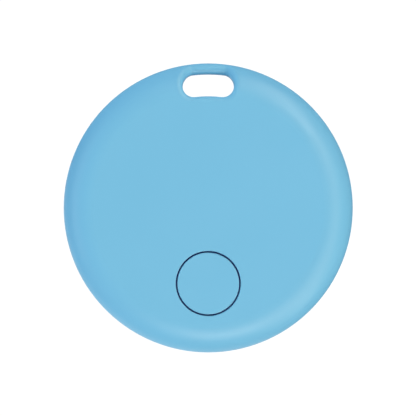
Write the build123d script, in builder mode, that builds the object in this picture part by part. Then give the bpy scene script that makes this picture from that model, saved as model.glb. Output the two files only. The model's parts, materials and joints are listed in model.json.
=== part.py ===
"""Round bluetooth tracker tag: a two-part case with a lanyard slot, a flush
button, a circuit board, a bonded piezo sounder and a coin cell behind a
twist-off door.

The tag stands upright. Its origin is the centre of the disc, +Z points to the
lanyard slot, +X to the right and the front faces -Y. Depths are given as h,
the distance in front of the middle plane, so h = -Y: +4 is the front face and
-4 the rear face.
"""
from build123d import *
import os
from math import cos, radians, sin

os.makedirs("parts", exist_ok=True)

# ---------------------------------------------------------------- dimensions
# Case
case_radius = 19.0
front_face = 4.0
rear_face = -4.0
front_round = 3.8
rear_round = 3.2
wall = 1.1
parting = -0.30
parting_gap = 0.12
front_edge = parting + parting_gap / 2
rear_edge = parting - parting_gap / 2
inner_radius = case_radius - wall
front_inside = front_face - wall
rear_inside = rear_face + wall

# Lanyard slot: an arc slot concentric with the case
slot_path_radius = 16.08
slot_half_angle = 6.77
slot_width = 2.95
slot_rim_round = 0.70
slot_wall = 1.0
slot_tongue = 1.75
slot_shoulder = 1.8

# Joint between the covers: a tongue on the rear cover and a gasket on top
tongue_inner = 17.0
tongue_outer = 17.8
tongue_top = 0.6
seal_top = 1.1
shoulder_top = 1.8
tongue_root = -1.6
joint_clearance = 0.06

# Button, on the centre line below the middle
button_z = -9.87
button_radius = 4.03
button_edge_round = 0.10
button_hole_radius = 4.25
button_flange_radius = 4.80
button_flange_top = 2.75
button_flange_bottom = 2.35
button_nub_radius = 1.0
button_nub_bottom = 1.95
button_collar_inner = 5.05
button_collar_outer = 5.95
button_collar_bottom = 2.0
button_seal_clearance = 0.02
button_lip_top = 3.72

# Tactile switch
switch_side = 4.4
switch_corner = 0.2
switch_tab_thickness = 0.12
switch_tab_side = 2.4
switch_tab_end = 2.0
switch_floor = 1.25
switch_base_front = 1.58
switch_well_radius = 1.9
switch_dome_top = 1.46
dome_radius = 1.75
dome_thickness = 0.06
dome_sag = 0.055
dome_shoulder = 1.05
plunger_radius = 0.9
plunger_top = 1.90
plunger_flange_radius = 1.3
plunger_flange_front = 1.56
plunger_flange_rear = 1.47
plunger_edge_round = 0.08
plunger_clearance = 0.06
switch_plate_front = 1.68

# Circuit board
board_radius = 16.7
board_front = 1.2
board_rear = 0.4
board_slot_margin = 1.95

# Components on the board's front
small_chip_length = 1.0
small_chip_width = 0.5
small_chip_height = 0.35
chip_chamfer = 0.08
capacitor_places = [
    (2.6, 5.6, 90),
    (2.6, 3.2, 90),
    (2.6, 0.8, 90),
    (9.6, 0.8, 0),
    (9.6, 6.6, 0),
    (-3.6, 8.6, 0),
    (-5.6, 8.6, 0),
    (-10.4, 0.4, 90),
]
resistor_places = [
    (-3.2, 3.4, 90),
    (-3.2, 1.2, 90),
    (-10.6, 4.0, 90),
    (4.2, -2.2, 0),
    (6.6, -2.2, 0),
    (-4.4, -3.0, 0),
]
coil_x = -6.6
coil_z = 0.8
coil_side = 3.0
coil_corner = 0.5
coil_height = 1.0
coil_edge_round = 0.2
antenna_radius = 16.3
antenna_inner = 15.5
antenna_direction = 270.0
antenna_sweep = 68.0
antenna_lift = 0.5
antenna_thickness = 0.15
antenna_feet = (238.0, 262.0)
antenna_foot_length = 0.7
antenna_foot_width = 0.7

# Inner frame and its screws
frame_rear = -0.2
tub_inner = 10.2
tub_outer = 11.15
tub_rear = -1.95
screw_places = [(-13.2, 7.0), (13.2, 7.0), (-13.9, -6.6), (13.9, -6.6)]
screw_head_radius = 1.1
screw_head_height = 0.45
screw_shank_radius = 0.45
screw_hole_radius = 0.55
screw_end = -2.2
screw_drive_length = 1.3
screw_drive_width = 0.3
screw_drive_depth = 0.2
boss_radius = 1.2

# Coin cell, 20 mm across and 3.2 mm thick
cell_z = -1.7
cell_radius = 10.0
cell_front = 0.10
cell_rear = -3.10
cell_crimp_drop = 0.18
can_wall = 0.25
can_edge_round = 0.2
crimp_radius = 9.2
cap_radius = 8.8
cap_edge_round = 0.15
gasket_clearance = 0.02
gasket_stand = 0.03
core_radius = 9.6
core_front = -0.35

# The cell's contacts
contact_width = 3.0
contact_face = 10.03
contact_leaf = 0.2
contact_foot = 12.0
contact_rear = -1.8
contact_plate = 0.12
contact_slot_reach = 12.2
contact_slot_width = 3.3
negative_length = 9.0
negative_width = 3.0
dimple_radius = 0.9
dimple_spacing = 5.0

# Battery door and its bayonet
door_radius = 13.15
door_chamfer = 0.15
recess_radius = 13.3
recess_floor = -3.2
door_inside = -3.3
bore_radius = 11.45
collar_radius = 13.4
collar_front = -1.4
plug_inner = 10.3
plug_outer = 11.3
plug_front = -2.05
lug_radius = 11.8
lug_root = 10.6
lug_rear = -2.65
lug_angle = 26.0
undercut_radius = 11.95
undercut_front = -2.0
undercut_rear = -2.7
entry_angle = 34.0
lug_count = 3
lock_angle = 45.0
first_lug_direction = 90.0
groove_inner = 12.2
groove_outer = 12.9
groove_depth = 0.3
door_seal_stand = 0.08
pad_outer = 6.0
pad_inner = 3.0
coin_slot_length = 9.0
coin_slot_width = 1.5
coin_slot_depth = 0.4
mark_direction = 0.0
mark_distance = 14.3
mark_radius = 0.35
mark_depth = 0.15
pointer_distance = 12.0
pointer_length = 1.2

# Sounder, bonded inside the front wall
piezo_z = 4.2
piezo_plate_radius = 7.5
piezo_ceramic_radius = 5.5
piezo_adhesive_outer = 7.4
piezo_adhesive_inner = 5.6
piezo_adhesive_depth = 0.10
piezo_plate_depth = 0.15
piezo_ceramic_depth = 0.15
piezo_plate_front = front_inside - piezo_adhesive_depth
piezo_ceramic_front = piezo_plate_front - piezo_plate_depth
piezo_ceramic_rear = piezo_ceramic_front - piezo_ceramic_depth
plate_pin_x = -6.6
ceramic_pin_x = 0.0
pin_radius = 0.3
pin_foot_radius = 0.6
pin_foot_height = 0.7


# ------------------------------------------------------------------- helpers
# Section plane whose local coordinates are (radius, h); it turns about Axis.Y
section = Plane(origin=(0, 0, 0), x_dir=(1, 0, 0), z_dir=(0, 0, -1))


def level(h, x=0.0, z=0.0):
    """Plane parallel to the faces at depth h; +local z points to the front."""
    return Plane(origin=(x, -h, z), x_dir=(1, 0, 0), z_dir=(0, -1, 0))


def shell_section(radius, edge, face, rounding):
    """Half section of a cover: flat face, rounded corner, straight side."""
    side = 1 if face > edge else -1
    corner_centre = face - side * rounding
    reach = rounding * sin(radians(45))
    with BuildSketch(section) as half:
        with BuildLine():
            Polyline(
                (radius - rounding, face),
                (0, face),
                (0, edge),
                (radius, edge),
                (radius, corner_centre),
            )
            ThreePointArc(
                (radius, corner_centre),
                (radius - rounding + reach, corner_centre + side * reach),
                (radius - rounding, face),
            )
        make_face()
    return half.sketch


def slot_outline(h, margin=0.0):
    """The lanyard slot's outline at depth h, grown by a margin all round."""
    with BuildSketch(level(h)) as outline:
        with BuildLine() as path:
            CenterArc((0, 0), slot_path_radius, 90 - slot_half_angle, 2 * slot_half_angle)
        SlotArc(path.edge(), slot_width + 2 * margin)
    return outline.sketch


def joint_band(h, inner, outer, loop_inner, loop_outer):
    """A band round the case that turns inward and passes below the slot."""
    with BuildSketch(level(h)) as band:
        Circle(outer)
        Circle(inner, mode=Mode.SUBTRACT)
        add(slot_outline(h, loop_outer), mode=Mode.ADD)
        Circle(outer, mode=Mode.INTERSECT)
        add(slot_outline(h, loop_inner), mode=Mode.SUBTRACT)
    return band.sketch


def ring(h, outer, inner, x=0.0, z=0.0):
    """A flat ring about (x, z) at depth h."""
    with BuildSketch(level(h, x, z)) as washer:
        Circle(outer)
        if inner > 0:
            Circle(inner, mode=Mode.SUBTRACT)
    return washer.sketch


def sector(h, radius, inner, direction, angle, z):
    """A piece of a ring about (0, z) at depth h, centred on a direction."""
    start = direction - angle / 2
    with BuildSketch(level(h, 0, z)) as slice_:
        with BuildLine():
            first = (radius * cos(radians(start)), radius * sin(radians(start)))
            last = (
                radius * cos(radians(start + angle)),
                radius * sin(radians(start + angle)),
            )
            CenterArc((0, 0), radius, start, angle)
            Polyline(last, (0, 0), first)
        make_face()
        if inner > 0:
            Circle(inner, mode=Mode.SUBTRACT)
    return slice_.sketch


def finish(builder, name):
    """Label a finished piece and write its STEP file."""
    builder.part.label = name
    export_step(builder.part, f"parts/{name}.step")


# --------------------------------------------------------------- front cover
# The hollow of the front half, less everything that stands into it
with BuildPart() as front_hollow:
    revolve(shell_section(inner_radius, front_edge, front_inside, front_round - wall), axis=Axis.Y)
    extrude(slot_outline(front_edge, slot_wall), amount=front_face, mode=Mode.SUBTRACT)
    extrude(slot_outline(seal_top, slot_shoulder), amount=front_face, mode=Mode.SUBTRACT)
    extrude(
        ring(seal_top, case_radius, tongue_inner),
        amount=shoulder_top - seal_top,
        mode=Mode.SUBTRACT,
    )
    extrude(
        ring(button_collar_bottom, button_collar_outer, button_collar_inner, z=button_z),
        amount=front_face,
        mode=Mode.SUBTRACT,
    )

with BuildPart() as front_cover:
    revolve(shell_section(case_radius, front_edge, front_face, front_round), axis=Axis.Y)
    add(front_hollow.part, mode=Mode.SUBTRACT)
    extrude(slot_outline(2 * rear_face), amount=4 * front_face, mode=Mode.SUBTRACT)
    slot_rim = (
        front_cover.edges(Select.LAST)
        .filter_by(GeomType.LINE, reverse=True)
        .filter_by(lambda edge: -edge.center().Y > shoulder_top)
    )
    fillet(slot_rim, radius=slot_rim_round)
    extrude(ring(0, button_hole_radius, 0, z=button_z), amount=2 * front_face, mode=Mode.SUBTRACT)
    button_rim = (
        front_cover.edges(Select.LAST)
        .filter_by(GeomType.CIRCLE)
        .filter_by(lambda edge: -edge.center().Y > front_inside)
    )
    fillet(button_rim, radius=button_edge_round)

finish(front_cover, "front_cover")

# ---------------------------------------------------------------- rear cover
with BuildPart() as rear_hollow:
    revolve(shell_section(inner_radius, rear_edge, rear_inside, rear_round - wall), axis=Axis.Y)
    extrude(slot_outline(rear_face, slot_tongue), amount=front_face, mode=Mode.SUBTRACT)
    extrude(
        ring(tongue_root, case_radius, tongue_inner),
        amount=rear_edge - tongue_root,
        mode=Mode.SUBTRACT,
    )
    extrude(
        ring(rear_face, collar_radius, 0, z=cell_z),
        amount=collar_front - rear_face,
        mode=Mode.SUBTRACT,
    )
    for x, z in screw_places:
        extrude(
            ring(rear_face, boss_radius, 0, x, z),
            amount=frame_rear - rear_face,
            mode=Mode.SUBTRACT,
        )

with BuildPart() as rear_cover:
    revolve(shell_section(case_radius, rear_edge, rear_face, rear_round), axis=Axis.Y)
    add(rear_hollow.part, mode=Mode.SUBTRACT)
    extrude(slot_outline(2 * rear_face), amount=4 * front_face, mode=Mode.SUBTRACT)
    slot_rim = (
        rear_cover.edges(Select.LAST)
        .filter_by(GeomType.LINE, reverse=True)
        .filter_by(lambda edge: -edge.center().Y < tongue_root)
    )
    fillet(slot_rim, radius=slot_rim_round)
    # The tongue that enters the front cover and its loop below the slot
    extrude(
        joint_band(
            rear_edge, tongue_inner, tongue_outer, slot_wall + joint_clearance, slot_tongue
        ),
        amount=tongue_top - rear_edge,
    )
    # Boss tops above the parting, and the holes for the screws
    for x, z in screw_places:
        extrude(ring(rear_edge, boss_radius, 0, x, z), amount=frame_rear - rear_edge)
        extrude(
            ring(screw_end, screw_shank_radius, 0, x, z),
            amount=front_face,
            mode=Mode.SUBTRACT,
        )
    # The door's recess, bore, undercut and entries
    extrude(
        ring(rear_face, recess_radius, 0, z=cell_z),
        amount=recess_floor - rear_face,
        mode=Mode.SUBTRACT,
    )
    extrude(ring(rear_face, bore_radius, 0, z=cell_z), amount=front_face, mode=Mode.SUBTRACT)
    extrude(
        ring(undercut_rear, undercut_radius, 0, z=cell_z),
        amount=undercut_front - undercut_rear,
        mode=Mode.SUBTRACT,
    )
    for index in range(lug_count):
        direction = first_lug_direction + index * 360 / lug_count
        extrude(
            sector(rear_face, undercut_radius, 0, direction, entry_angle, cell_z),
            amount=undercut_front - rear_face,
            mode=Mode.SUBTRACT,
        )
    # Groove for the door's gasket
    extrude(
        ring(recess_floor, groove_outer, groove_inner, z=cell_z),
        amount=groove_depth,
        mode=Mode.SUBTRACT,
    )
    # Unlocked mark (a ring) and locked mark (a dot) beside the door
    with BuildSketch(level(rear_face, 0, cell_z)):
        with PolarLocations(mark_distance, 1, mark_direction, 0):
            Circle(mark_radius)
            Circle(mark_radius / 2, mode=Mode.SUBTRACT)
        with PolarLocations(mark_distance, 1, mark_direction + lock_angle, 0):
            Circle(mark_radius)
    extrude(amount=mark_depth, mode=Mode.SUBTRACT)

finish(rear_cover, "rear_cover")

# ------------------------------------------------------------------- gaskets
with BuildPart() as case_seal:
    extrude(
        joint_band(
            tongue_top,
            tongue_inner + joint_clearance,
            tongue_outer - joint_clearance,
            slot_wall + joint_clearance,
            slot_tongue - joint_clearance,
        ),
        amount=seal_top - tongue_top,
    )

finish(case_seal, "case_seal")

with BuildPart() as door_seal:
    extrude(
        ring(
            recess_floor - door_seal_stand,
            groove_outer - joint_clearance,
            groove_inner + joint_clearance,
            z=cell_z,
        ),
        amount=groove_depth + door_seal_stand,
    )

finish(door_seal, "door_seal")

# -------------------------------------------------------------- battery door
with BuildPart() as battery_door:
    extrude(ring(rear_face, door_radius, 0, z=cell_z), amount=door_inside - rear_face)
    door_edge = battery_door.edges().filter_by(GeomType.CIRCLE).sort_by(Axis.Y)[-1]
    chamfer(door_edge, length=door_chamfer)
    extrude(ring(door_inside, plug_outer, plug_inner, z=cell_z), amount=plug_front - door_inside)
    for index in range(lug_count):
        direction = first_lug_direction + index * 360 / lug_count
        extrude(
            sector(lug_rear, lug_radius, lug_root, direction, lug_angle, cell_z),
            amount=plug_front - lug_rear,
        )
    # Coin slot and the pointer that meets the marks
    with BuildSketch(level(rear_face, 0, cell_z)):
        SlotOverall(coin_slot_length, coin_slot_width)
    extrude(amount=coin_slot_depth, mode=Mode.SUBTRACT)
    with BuildSketch(level(rear_face, 0, cell_z)):
        with PolarLocations(pointer_distance, 1, mark_direction, 0):
            SlotOverall(pointer_length, 2 * mark_radius)
    extrude(amount=mark_depth, mode=Mode.SUBTRACT)

finish(battery_door, "battery_door")

with BuildPart() as door_pad:
    extrude(ring(door_inside, pad_outer, pad_inner, z=cell_z), amount=cell_rear - door_inside)

finish(door_pad, "door_pad")

# ----------------------------------------------------------------- coin cell
with BuildPart() as battery_can:
    extrude(
        ring(cell_rear, cell_radius, 0, z=cell_z),
        amount=cell_front - cell_crimp_drop - cell_rear,
    )
    can_edge = battery_can.edges().filter_by(GeomType.CIRCLE)
    fillet(can_edge, radius=can_edge_round)
    extrude(
        ring(cell_rear + can_wall, cell_radius - can_wall, 0, z=cell_z),
        amount=cell_front - cell_crimp_drop - can_wall - cell_rear - can_wall,
        mode=Mode.SUBTRACT,
    )
    extrude(ring(core_front, crimp_radius, 0, z=cell_z), amount=front_face, mode=Mode.SUBTRACT)

finish(battery_can, "battery_can")

with BuildPart() as battery_core:
    extrude(
        ring(cell_rear + can_wall, core_radius, 0, z=cell_z),
        amount=core_front - cell_rear - can_wall,
    )

finish(battery_core, "battery_core")

with BuildPart() as battery_cap:
    extrude(ring(core_front, cap_radius, 0, z=cell_z), amount=cell_front - core_front)
    fillet(battery_cap.edges().sort_by(Axis.Y)[0], radius=cap_edge_round)

finish(battery_cap, "battery_cap")

with BuildPart() as battery_gasket:
    extrude(
        ring(
            core_front, crimp_radius - gasket_clearance, cap_radius + gasket_clearance, z=cell_z
        ),
        amount=cell_front - cell_crimp_drop + gasket_stand - core_front,
    )

finish(battery_gasket, "battery_gasket")

# -------------------------------------------------------------------- button
with BuildPart() as button_cap:
    extrude(
        ring(button_flange_top, button_radius, 0, z=button_z),
        amount=front_face - button_flange_top,
    )
    fillet(button_cap.edges().sort_by(Axis.Y)[0], radius=button_edge_round)
    extrude(
        ring(button_flange_bottom, button_flange_radius, 0, z=button_z),
        amount=button_flange_top - button_flange_bottom,
    )
    extrude(
        ring(button_nub_bottom, button_nub_radius, 0, z=button_z),
        amount=button_flange_bottom - button_nub_bottom,
    )

finish(button_cap, "button_cap")

with BuildPart() as button_seal:
    # A washer on the button's flange, and a lip that fills the gap round the button
    seal_inner = button_radius + button_seal_clearance
    extrude(
        ring(button_flange_top, button_flange_radius, seal_inner, z=button_z),
        amount=front_inside - button_flange_top - button_seal_clearance,
    )
    extrude(
        ring(
            button_flange_top, button_hole_radius - button_seal_clearance, seal_inner, z=button_z
        ),
        amount=button_lip_top - button_flange_top,
    )

finish(button_seal, "button_seal")

# ------------------------------------------------- tactile switch, under the button
with BuildPart() as switch_base:
    with BuildSketch(level(board_front, 0, button_z)):
        RectangleRounded(switch_side, switch_side, switch_corner)
    extrude(amount=switch_base_front - board_front)
    extrude(
        ring(switch_floor, switch_well_radius, 0, z=button_z),
        amount=switch_base_front - switch_floor,
        mode=Mode.SUBTRACT,
    )

finish(switch_base, "switch_base")

with BuildPart() as switch_dome:
    dome_plane = Plane(origin=(0, 0, button_z), x_dir=(1, 0, 0), z_dir=(0, 0, -1))
    with BuildSketch(dome_plane):
        with BuildLine():
            top_arc = ThreePointArc(
                (0, switch_dome_top),
                (dome_shoulder, switch_dome_top - dome_sag),
                (dome_radius, switch_floor + dome_thickness),
            )
            under_arc = ThreePointArc(
                (0, switch_dome_top - dome_thickness),
                (dome_shoulder, switch_dome_top - dome_thickness - dome_sag),
                (dome_radius, switch_floor),
            )
            Line(top_arc @ 0, under_arc @ 0)
            Line(top_arc @ 1, under_arc @ 1)
        make_face()
    revolve(axis=Axis((0, 0, button_z), (0, 1, 0)))

finish(switch_dome, "switch_dome")

with BuildPart() as switch_plunger:
    extrude(
        ring(plunger_flange_rear, plunger_flange_radius, 0, z=button_z),
        amount=plunger_flange_front - plunger_flange_rear,
    )
    extrude(
        ring(plunger_flange_front, plunger_radius, 0, z=button_z),
        amount=plunger_top - plunger_flange_front,
    )
    fillet(switch_plunger.edges().sort_by(Axis.Y)[0], radius=plunger_edge_round)

finish(switch_plunger, "switch_plunger")

with BuildPart() as switch_frame:
    with BuildSketch(level(switch_base_front, 0, button_z)):
        RectangleRounded(switch_side, switch_side, switch_corner)
        Circle(plunger_radius + plunger_clearance, mode=Mode.SUBTRACT)
    extrude(amount=switch_plate_front - switch_base_front)
    # Side tabs that clip down over the base
    with BuildSketch(level(board_front, 0, button_z)):
        with GridLocations(switch_side + switch_tab_thickness, 0, 2, 1):
            Rectangle(switch_tab_thickness, switch_tab_side)
        with GridLocations(0, switch_side + switch_tab_thickness, 1, 2):
            Rectangle(switch_tab_end, switch_tab_thickness)
    extrude(amount=switch_plate_front - board_front)

finish(switch_frame, "switch_frame")

# ------------------------------------------------------------- circuit board
with BuildPart() as pcb:
    extrude(ring(board_rear, board_radius, 0), amount=board_front - board_rear)
    extrude(
        slot_outline(board_rear, board_slot_margin),
        amount=board_front - board_rear,
        mode=Mode.SUBTRACT,
    )
    for x, z in screw_places:
        extrude(
            ring(board_rear, screw_hole_radius, 0, x, z),
            amount=board_front - board_rear,
            mode=Mode.SUBTRACT,
        )

finish(pcb, "pcb")


def chip(name, x, z, width, length, height):
    """A rectangular component on the board's front, with eased top edges."""
    with BuildPart() as body:
        with BuildSketch(level(board_front, x, z)):
            Rectangle(width, length)
        extrude(amount=height)
        chamfer(body.faces().sort_by(Axis.Y)[0].edges(), length=chip_chamfer)
    finish(body, name)


chip("ble_chip", x=6.2, z=3.2, width=5.0, length=5.0, height=0.85)
chip("crystal_main", x=10.9, z=3.6, width=2.0, length=1.6, height=0.5)
chip("crystal_clock", x=6.0, z=7.6, width=3.2, length=1.5, height=0.75)
chip("driver_transistor", x=-6.9, z=6.6, width=2.9, length=1.3, height=0.95)

with BuildPart() as coil_inductor:
    with BuildSketch(level(board_front, coil_x, coil_z)):
        RectangleRounded(coil_side, coil_side, coil_corner)
    extrude(amount=coil_height)
    fillet(coil_inductor.faces().sort_by(Axis.Y)[0].edges(), radius=coil_edge_round)

finish(coil_inductor, "coil_inductor")


def small_chips(name, places):
    """Several identical two-ended chips in one node."""
    with BuildPart() as bodies:
        for x, z, angle in places:
            with BuildSketch(level(board_front, x, z)):
                Rectangle(small_chip_length, small_chip_width, rotation=angle)
            extrude(amount=small_chip_height)
    finish(bodies, name)


small_chips("capacitors", capacitor_places)
small_chips("resistors", resistor_places)

with BuildPart() as antenna:
    # A flat strip along the board's rim, standing on two feet
    extrude(
        sector(
            board_front + antenna_lift,
            antenna_radius,
            antenna_inner,
            antenna_direction,
            antenna_sweep,
            0,
        ),
        amount=antenna_thickness,
    )
    for direction in antenna_feet:
        foot_reach = (antenna_radius + antenna_inner) / 2
        foot_x = foot_reach * cos(radians(direction))
        foot_z = foot_reach * sin(radians(direction))
        with BuildSketch(level(board_front, foot_x, foot_z)):
            Rectangle(antenna_foot_length, antenna_foot_width, rotation=direction)
        extrude(amount=antenna_lift)

finish(antenna, "antenna")

# --------------------------------------------------- inner frame and screws
with BuildPart() as inner_frame:
    extrude(ring(frame_rear, board_radius, 0), amount=board_rear - frame_rear)
    extrude(
        slot_outline(frame_rear, board_slot_margin),
        amount=board_rear - frame_rear,
        mode=Mode.SUBTRACT,
    )
    extrude(ring(tub_rear, tub_outer, 0, z=cell_z), amount=frame_rear - tub_rear)
    extrude(ring(tub_rear, tub_inner, 0, z=cell_z), amount=front_face, mode=Mode.SUBTRACT)
    for x, z in screw_places:
        extrude(
            ring(frame_rear, screw_hole_radius, 0, x, z),
            amount=board_rear - frame_rear,
            mode=Mode.SUBTRACT,
        )
    # Slots for the two side contacts
    with BuildSketch(level(tub_rear, 0, cell_z)):
        Rectangle(2 * contact_slot_reach, contact_slot_width)
    extrude(amount=board_rear - tub_rear, mode=Mode.SUBTRACT)

finish(inner_frame, "inner_frame")

with BuildPart() as frame_screws:
    for x, z in screw_places:
        extrude(
            ring(board_front, screw_head_radius, 0, x, z),
            amount=screw_head_height,
        )
        extrude(
            ring(screw_end, screw_shank_radius, 0, x, z),
            amount=board_front - screw_end,
        )
        with BuildSketch(level(board_front + screw_head_height, x, z)):
            Rectangle(screw_drive_length, screw_drive_width)
            Rectangle(screw_drive_width, screw_drive_length)
        extrude(amount=-screw_drive_depth, mode=Mode.SUBTRACT)

finish(frame_screws, "frame_screws")

# ----------------------------------------------------------- cell's contacts
with BuildPart() as negative_contact:
    with BuildSketch(level(board_rear - contact_plate, 0, cell_z)):
        SlotOverall(negative_length, negative_width)
    extrude(amount=contact_plate)
    with BuildSketch(level(cell_front, 0, cell_z)):
        with GridLocations(dimple_spacing, 0, 2, 1):
            Circle(dimple_radius)
    extrude(amount=board_rear - contact_plate - cell_front)

finish(negative_contact, "negative_contact")

with BuildPart() as positive_contacts:
    for side in (-1, 1):
        with BuildSketch(level(contact_rear, side * (contact_face + contact_leaf / 2), cell_z)):
            Rectangle(contact_leaf, contact_width)
        extrude(amount=board_rear - contact_rear)
        foot_middle = side * (contact_face + contact_foot) / 2
        with BuildSketch(level(board_rear - contact_leaf, foot_middle, cell_z)):
            Rectangle(contact_foot - contact_face, contact_width)
        extrude(amount=contact_leaf)

finish(positive_contacts, "positive_contacts")

# ------------------------------------------------------------------- sounder
with BuildPart() as piezo_adhesive:
    extrude(
        ring(piezo_plate_front, piezo_adhesive_outer, piezo_adhesive_inner, z=piezo_z),
        amount=piezo_adhesive_depth,
    )

finish(piezo_adhesive, "piezo_adhesive")

with BuildPart() as piezo_plate:
    extrude(ring(piezo_ceramic_front, piezo_plate_radius, 0, z=piezo_z), amount=piezo_plate_depth)

finish(piezo_plate, "piezo_plate")

with BuildPart() as piezo_ceramic:
    extrude(
        ring(piezo_ceramic_rear, piezo_ceramic_radius, 0, z=piezo_z), amount=piezo_ceramic_depth
    )

finish(piezo_ceramic, "piezo_ceramic")

with BuildPart() as piezo_contacts:
    # One spring pin meets the plate, the other the ceramic
    for x, top in ((plate_pin_x, piezo_ceramic_front), (ceramic_pin_x, piezo_ceramic_rear)):
        extrude(ring(board_front, pin_foot_radius, 0, x, piezo_z), amount=pin_foot_height)
        extrude(ring(board_front, pin_radius, 0, x, piezo_z), amount=top - board_front)

finish(piezo_contacts, "piezo_contacts")
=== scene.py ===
# %% [markdown]
# # A round tracker tag in its studio
#
# The tag is a disc of sky-blue plastic with an arc-shaped lanyard slot, a flush round button and a
# twist-off battery door in its back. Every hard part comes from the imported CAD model, which is
# loaded here as a frame that never moves. What Blender adds is the finish of each part, the small
# parts that are too fine for the CAD model, the studio and the camera. The three lines below load
# the frame. Its axes are those of the tag: +Z points to the slot, +X to the right, and the front
# faces -Y. All lengths are metres.

# %% Load the frame
import json
from contextlib import contextmanager
from math import cos, pi, radians, sin

import bpy
from mathutils import Matrix, Vector


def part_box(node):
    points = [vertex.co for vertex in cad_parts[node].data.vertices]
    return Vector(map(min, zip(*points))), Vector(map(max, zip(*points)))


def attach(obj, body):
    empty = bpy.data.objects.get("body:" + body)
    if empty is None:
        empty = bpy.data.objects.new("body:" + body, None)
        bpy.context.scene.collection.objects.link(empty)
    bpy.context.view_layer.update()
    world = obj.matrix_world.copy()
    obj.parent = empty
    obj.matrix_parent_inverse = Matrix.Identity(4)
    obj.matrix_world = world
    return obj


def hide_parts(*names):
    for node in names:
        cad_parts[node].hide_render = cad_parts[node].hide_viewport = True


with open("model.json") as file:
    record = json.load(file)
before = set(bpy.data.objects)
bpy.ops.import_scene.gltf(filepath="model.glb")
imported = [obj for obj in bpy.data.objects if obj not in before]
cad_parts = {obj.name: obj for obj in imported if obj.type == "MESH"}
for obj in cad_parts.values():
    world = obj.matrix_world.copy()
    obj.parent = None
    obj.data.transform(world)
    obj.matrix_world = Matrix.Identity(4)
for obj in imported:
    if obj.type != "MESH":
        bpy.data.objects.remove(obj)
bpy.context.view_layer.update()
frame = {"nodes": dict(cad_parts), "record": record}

nodes = frame["nodes"]
print("CAD nodes:", len(nodes))

# %% [markdown]
# ## Lengths that several steps share
#
# The frame knows where each part is, so a place is read from it and not typed again. The board's
# two faces and the battery bay carry most of the added parts. A depth in this model is a value of
# Y, and it grows towards the back, so the board's front face is its lowest Y.

# %% Read the shared places
MM = 0.001
board_low, board_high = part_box("pcb")
board_front = board_low.y
board_rear = board_high.y
bay_low, bay_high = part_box("battery_can")
bay_middle = (bay_low + bay_high) / 2
print("board from", round(board_front / MM, 2), "to", round(board_rear / MM, 2), "mm")
print("cell's middle at z", round(bay_middle.z / MM, 2), "mm")

# %% [markdown]
# ## The camera
#
# The tag is seen straight from the front, as in a catalogue. A short lens would show the inside
# wall of the slot and swell the middle of the disc. A very long lens from well back keeps the
# outline a true circle and the slot's two rims in line, so that is what is used. The distance
# follows from the lens: a 36 mm sensor behind a lens of 400 mm sees a strip of 36/400 of the
# distance.

# %% Place the camera
VIEW_WIDTH = 54.7 * MM
LENS = 400
SENSOR = 36
CAMERA_X = -0.03 * MM
CAMERA_Z = -0.01 * MM

camera_data = bpy.data.cameras.new("camera")
camera_data.lens = LENS
camera_data.sensor_width = SENSOR
camera_data.clip_end = 100
camera = bpy.data.objects.new("camera", camera_data)
bpy.context.scene.collection.objects.link(camera)
camera.location = (CAMERA_X, -VIEW_WIDTH * LENS / SENSOR, CAMERA_Z)
camera.rotation_euler = (radians(90), 0, 0)
bpy.context.scene.camera = camera
bpy.context.scene.view_settings.view_transform = "Standard"
print("camera at", round(camera.location.length, 3), "m from the tag")

# %% [markdown]
# ## The softboxes
#
# A product this small is lit by large white panels close around it, so its shading is even and
# only the rounded rim shows where the panels stand. The rim reads best when the panels are laid out
# as on a clock face round the camera: each one has a tilt, counted from the line towards the
# camera, and a clock angle, counted from the right and upwards. Area lights do this without any
# mesh. The lights below and to the right are the bright ones. Those on the left, above and below
# are fill: they brighten the plastic but aren't mirrored in it, as with a large sheet of tracing
# paper, so that side of the rim stays without a highlight. The tag's back has a lamp that isn't
# mirrored, or it would draw a bright thread along the outline, and a large dim sheet, which the
# metal inside mirrors. The lamps are a little warm and the room is cool, so the rim, which sees
# more of the room, looks bluer.

# %% Hang the softboxes
LIGHT_REACH = 1.2
PANEL_SIDE = 0.48
STRIP_WIDTH = 0.32
STRIP_LENGTH = 1.28
SHEET_SIDE = 1.6
LAMP_COLOUR = (1.14, 1.01, 0.85)
FILL_COLOUR = (0.98, 1.0, 1.02)


def softbox(name, tilt_degrees, clock_degrees, watts, width=PANEL_SIDE, height=PANEL_SIDE):
    """Aim an area light at the tag from a tilt off the camera's line and a clock angle."""
    tilt = radians(tilt_degrees)
    clock = radians(clock_degrees)
    light = bpy.data.lights.new(name, "AREA")
    light.shape = "RECTANGLE"
    light.size = width
    light.size_y = height
    light.energy = watts
    light.color = LAMP_COLOUR
    place = Vector((sin(tilt) * cos(clock), -cos(tilt), sin(tilt) * sin(clock)))
    panel = bpy.data.objects.new(name, light)
    bpy.context.scene.collection.objects.link(panel)
    panel.location = place * LIGHT_REACH
    panel.rotation_euler = (-place).to_track_quat("-Z", "Y").to_euler()
    panel.visible_camera = False
    return panel


softbox("key_low", 48, 275, 5.4)
softbox("key_low_right", 48, 315, 2.4)
softbox("strip_right", 50, 5, 3.5, width=STRIP_WIDTH, height=STRIP_LENGTH)
softbox("key_up_right", 48, 45, 3.3)
softbox("key_top", 48, 90, 1.0)
softbox("side_up", 75, 60, 2.9)
softbox("side_low", 75, 315, 2.3)
for fill in (
    softbox("fill_left", 75, 180, 8.6, height=STRIP_LENGTH),
    softbox("fill_up_left", 75, 120, 1.9),
    softbox("fill_low_left", 75, 225, 0.7),
    softbox("fill_above", 105, 90, 3.2),
    softbox("fill_below", 105, 270, 2.2),
):
    fill.visible_glossy = False
    fill.data.color = FILL_COLOUR
softbox("rear_lamp", 165, 45, 3.8).visible_glossy = False
softbox("rear_sheet", 150, 235, 4.8, width=SHEET_SIDE, height=SHEET_SIDE)

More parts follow.
